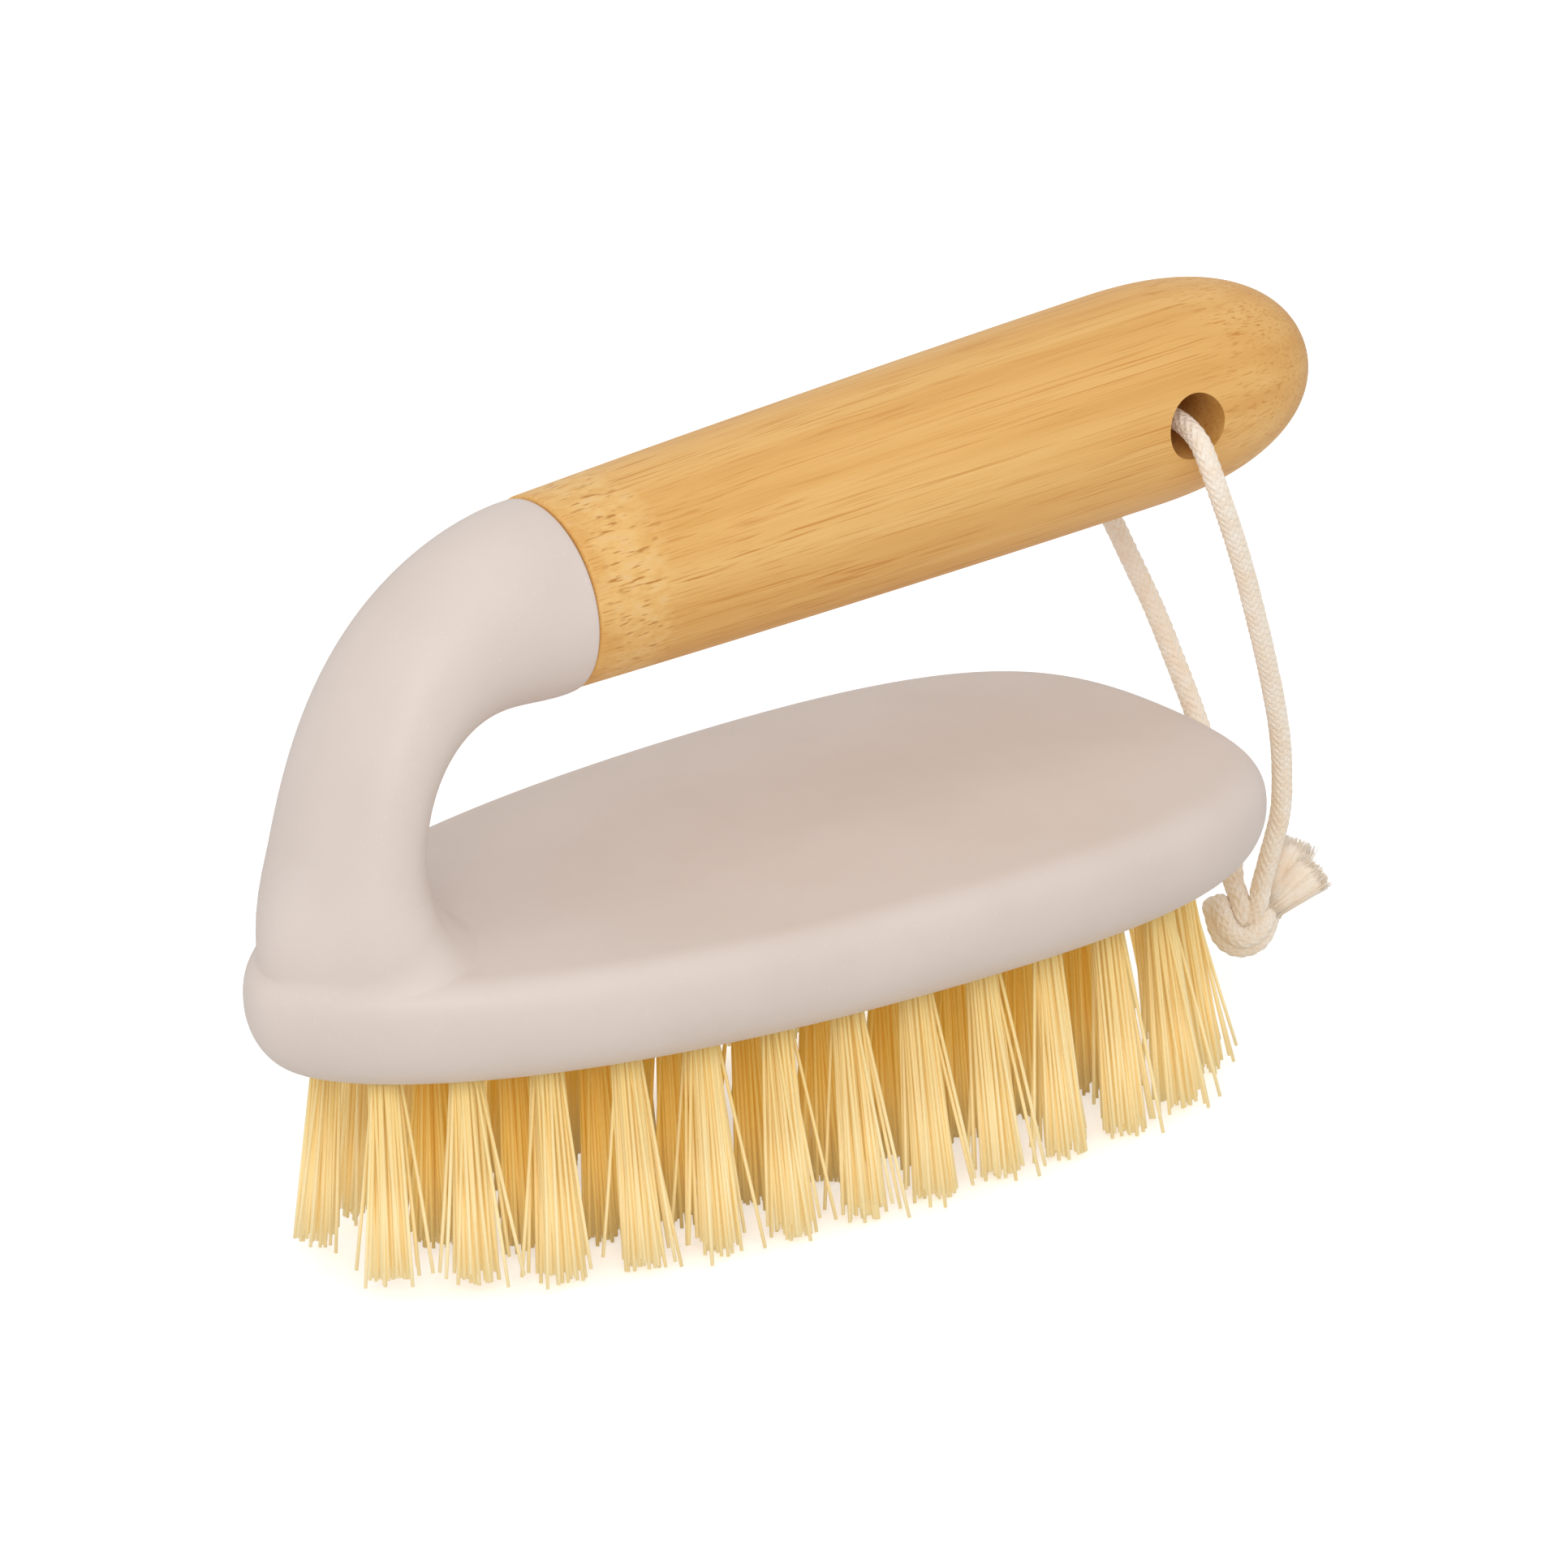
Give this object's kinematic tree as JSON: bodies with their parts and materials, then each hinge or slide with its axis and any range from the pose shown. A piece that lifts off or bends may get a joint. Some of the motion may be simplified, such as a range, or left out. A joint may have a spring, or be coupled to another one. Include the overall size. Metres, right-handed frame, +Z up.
{
  "type": "scrub brush",
  "caption": "Hand scrub brush: oval plate with a bent-over arm, a bamboo grip on a tenon, fanned bristle tufts and a hanging cord loop through the grip's end.",
  "frame": {"origin": "on the floor under the middle of the brush, half way between the plate's tip and the grip's free end; the bristle tips stand on z = 0", "axes": "+X from the arm towards the grip's free end, +Y to the brush's left seen from the arm, +Z up from the bristles to the grip"},
  "size_m": [0.1474, 0.065, 0.0901],
  "materials": {
    "warm_grey_plastic": "satin moulded plastic with a very fine speckle",
    "bamboo": "turned and sanded bamboo, thin clear coat",
    "bristle": "translucent straw-coloured plastic filament, cut square",
    "cotton_cord": "undyed braided cotton"
  },
  "bodies": {
    "brush": {"head": "warm_grey_plastic", "bamboo_grip": "bamboo", "tuft_outer_01": "bristle", "tuft_outer_02": "bristle", "tuft_outer_03": "bristle", "tuft_outer_04": "bristle", "tuft_outer_05": "bristle", "tuft_outer_06": "bristle", "tuft_outer_07": "bristle", "tuft_outer_08": "bristle", "tuft_outer_09": "bristle", "tuft_outer_10": "bristle", "tuft_outer_11": "bristle", "tuft_outer_12": "bristle", "tuft_outer_13": "bristle", "tuft_outer_14": "bristle", "tuft_outer_15": "bristle", "tuft_outer_16": "bristle", "tuft_outer_17": "bristle", "tuft_outer_18": "bristle", "tuft_outer_19": "bristle", "tuft_outer_20": "bristle", "tuft_outer_21": "bristle", "tuft_outer_22": "bristle", "tuft_outer_23": "bristle", "tuft_outer_24": "bristle", "tuft_outer_25": "bristle", "tuft_outer_26": "bristle", "tuft_outer_27": "bristle", "tuft_outer_28": "bristle", "tuft_inner_01": "bristle", "tuft_inner_02": "bristle", "tuft_inner_03": "bristle", "tuft_inner_04": "bristle", "tuft_inner_05": "bristle", "tuft_inner_06": "bristle", "tuft_inner_07": "bristle", "tuft_inner_08": "bristle", "tuft_inner_09": "bristle", "tuft_inner_10": "bristle", "tuft_inner_11": "bristle", "tuft_inner_12": "bristle", "tuft_inner_13": "bristle", "tuft_inner_14": "bristle", "tuft_inner_15": "bristle", "tuft_inner_16": "bristle", "tuft_inner_17": "bristle", "tuft_inner_18": "bristle", "tuft_inner_19": "bristle", "tuft_inner_20": "bristle", "tuft_inner_21": "bristle", "tuft_centre_01": "bristle", "tuft_centre_02": "bristle", "tuft_centre_03": "bristle", "tuft_centre_04": "bristle", "tuft_centre_05": "bristle", "tuft_centre_06": "bristle", "tuft_centre_07": "bristle"},
    "cord": {"cord_loop": "cotton_cord", "cord_knot": "cotton_cord"}
  },
  "joints": [
    {"name": "cord_swing", "type": "hinge", "parent": "brush", "child": "cord", "pos_m": [0.04922, 0, 0.07758], "axis": [0, -1, 0], "range_deg": [0, 165]}
  ]
}
